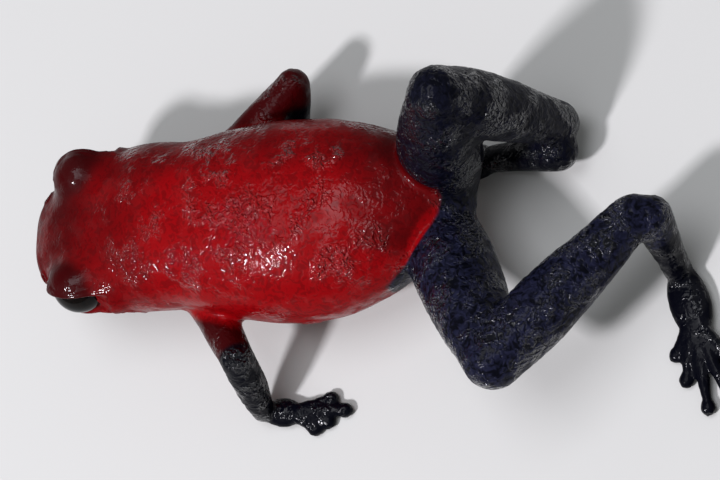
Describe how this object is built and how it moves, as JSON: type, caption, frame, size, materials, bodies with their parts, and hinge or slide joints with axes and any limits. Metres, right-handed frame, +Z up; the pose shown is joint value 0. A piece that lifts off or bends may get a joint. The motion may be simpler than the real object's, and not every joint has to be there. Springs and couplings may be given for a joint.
{
  "type": "poison dart frog model",
  "caption": "Life-size still model of a small red frog with blue-black legs, standing on all fours with its hind legs half folded.",
  "frame": {"origin": "centre of the model's footprint, on the floor", "axes": "+Z up; -Y the way the frog faces; +X towards its left side"},
  "size_m": [0.016, 0.0322, 0.0104],
  "materials": {
    "red_skin": "moist, finely granular, glossy",
    "blue_skin": "moist, granular, glossy, blue-black",
    "eye": "polished, black"
  },
  "bodies": {
    "root": {"head": "red_skin", "torso": "red_skin", "upper_arm_left": "red_skin", "upper_arm_right": "red_skin", "forearm_left": "blue_skin", "forearm_right": "blue_skin", "hand_left": "blue_skin", "hand_right": "blue_skin", "thigh_left": "blue_skin", "thigh_right": "blue_skin", "shank_left": "blue_skin", "shank_right": "blue_skin", "tarsus_left": "blue_skin", "tarsus_right": "blue_skin", "foot_left": "blue_skin", "foot_right": "blue_skin", "eye_left": "eye", "eye_right": "eye"}
  },
  "joints": []
}
